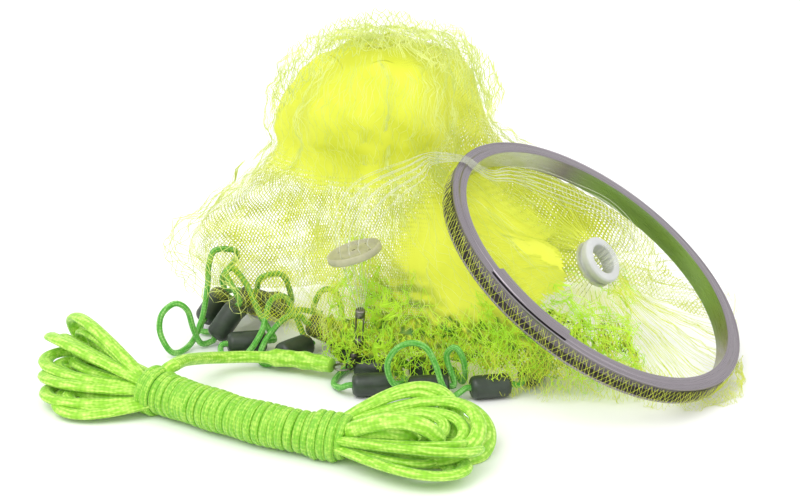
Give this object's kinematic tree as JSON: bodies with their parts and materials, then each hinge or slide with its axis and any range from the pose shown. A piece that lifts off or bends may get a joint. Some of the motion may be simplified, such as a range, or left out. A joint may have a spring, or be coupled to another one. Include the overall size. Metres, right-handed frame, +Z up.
{
  "type": "cast fishing net with throwing ring",
  "caption": "Cast net lying heaped with its throwing ring on top, a weighted lead line along its edge and a braided hand line wound in a hank.",
  "frame": {"origin": "centre of the bounding box's bottom, on the surface that the net lies on", "axes": "+X along the heap's length, towards the ring; +Z up, off the surface; -Y towards the hank"},
  "size_m": [0.5348, 0.4276, 0.255],
  "materials": {
    "netting": "fine twisted nylon netting, fluorescent yellow-green",
    "ring": "grey anodised, satin",
    "ring_sleeve": "pressed joint sleeve, satin",
    "ring_lashing": "netting edge laced round the ring's channel",
    "horn": "moulded, pale lavender white, satin",
    "brail_plate": "moulded, greyish beige, satin",
    "brail_line": "clear nylon monofilament",
    "steel_wire": "stainless wire",
    "swivel_metal": "dark nickel plated brass",
    "lead_line": "braided rope, green",
    "sinker": "grey green vinyl over lead",
    "hand_line": "hollow braid rope, lime green"
  },
  "bodies": {
    "heap": {"netting": "netting", "ring": "ring", "ring_sleeve": "ring_sleeve", "ring_lashing": "ring_lashing", "horn": "horn", "brail_plate": "brail_plate", "brail_1": "brail_line", "brail_2": "brail_line", "brail_3": "brail_line", "brail_4": "brail_line", "brail_5": "brail_line", "brail_6": "brail_line", "brail_7": "brail_line", "brail_8": "brail_line", "leader": "steel_wire", "swivel_upper_eye": "swivel_metal", "swivel_lower_eye": "swivel_metal", "snap_ring": "steel_wire", "lead_line": "lead_line", "sinker_01": "sinker", "sinker_02": "sinker", "sinker_03": "sinker", "sinker_04": "sinker", "sinker_05": "sinker", "sinker_06": "sinker", "sinker_07": "sinker", "sinker_08": "sinker", "sinker_09": "sinker", "sinker_10": "sinker", "sinker_11": "sinker", "sinker_12": "sinker", "sinker_13": "sinker", "sinker_14": "sinker", "sinker_15": "sinker", "hank": "hand_line", "hand_line_tail": "hand_line"},
    "swivel": {"swivel_barrel": "swivel_metal"}
  },
  "joints": [
    {"name": "swivel_turn", "type": "hinge", "parent": "heap", "child": "swivel", "pos_m": [-0.02995, -0.01339, 0.02008], "axis": [0.38, 0, 0.925], "continuous": true}
  ]
}
